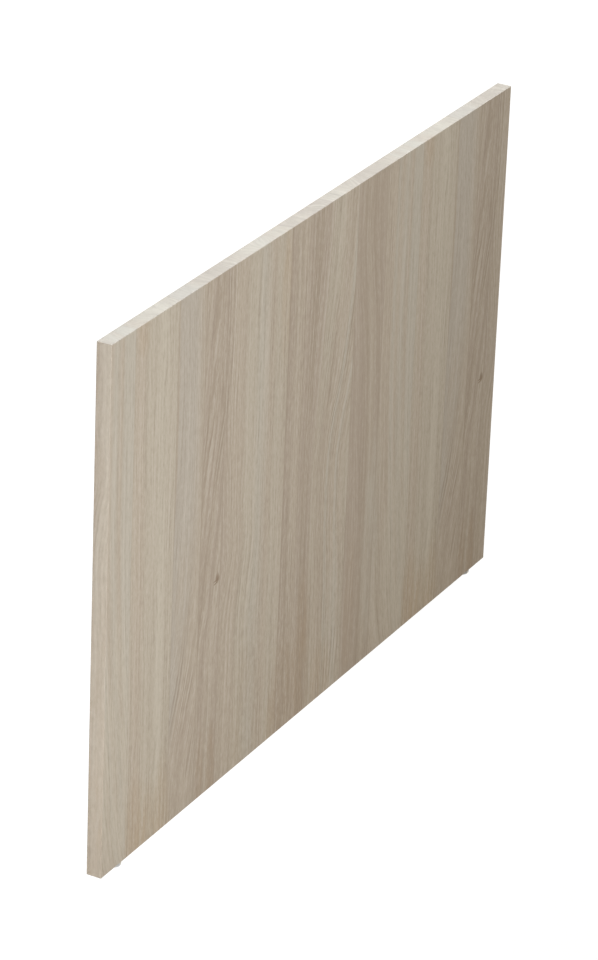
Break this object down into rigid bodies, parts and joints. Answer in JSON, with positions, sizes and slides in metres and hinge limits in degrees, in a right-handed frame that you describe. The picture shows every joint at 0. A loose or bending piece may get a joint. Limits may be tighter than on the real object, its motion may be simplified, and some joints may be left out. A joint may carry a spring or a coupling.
{
  "type": "bath panel",
  "caption": "Flat rectangular end panel for a bath, in a pale grey-brown wood decor with upright grain, on small round glides under its bottom edge.",
  "frame": {"origin": "centre of the board's back face, which lies on the floor", "axes": "+X along the panel's width, +Y up its height as it is fitted, +Z out of its front face"},
  "size_m": [0.8, 0.555, 0.016],
  "materials": {
    "wood_decor": "matt wood-grain decor, pale grey-brown with darker upright streaks",
    "glide_plastic": "pale milky moulded plastic"
  },
  "bodies": {
    "root": {"panel_board": "wood_decor", "glide_left": "glide_plastic", "glide_right": "glide_plastic"}
  },
  "joints": []
}
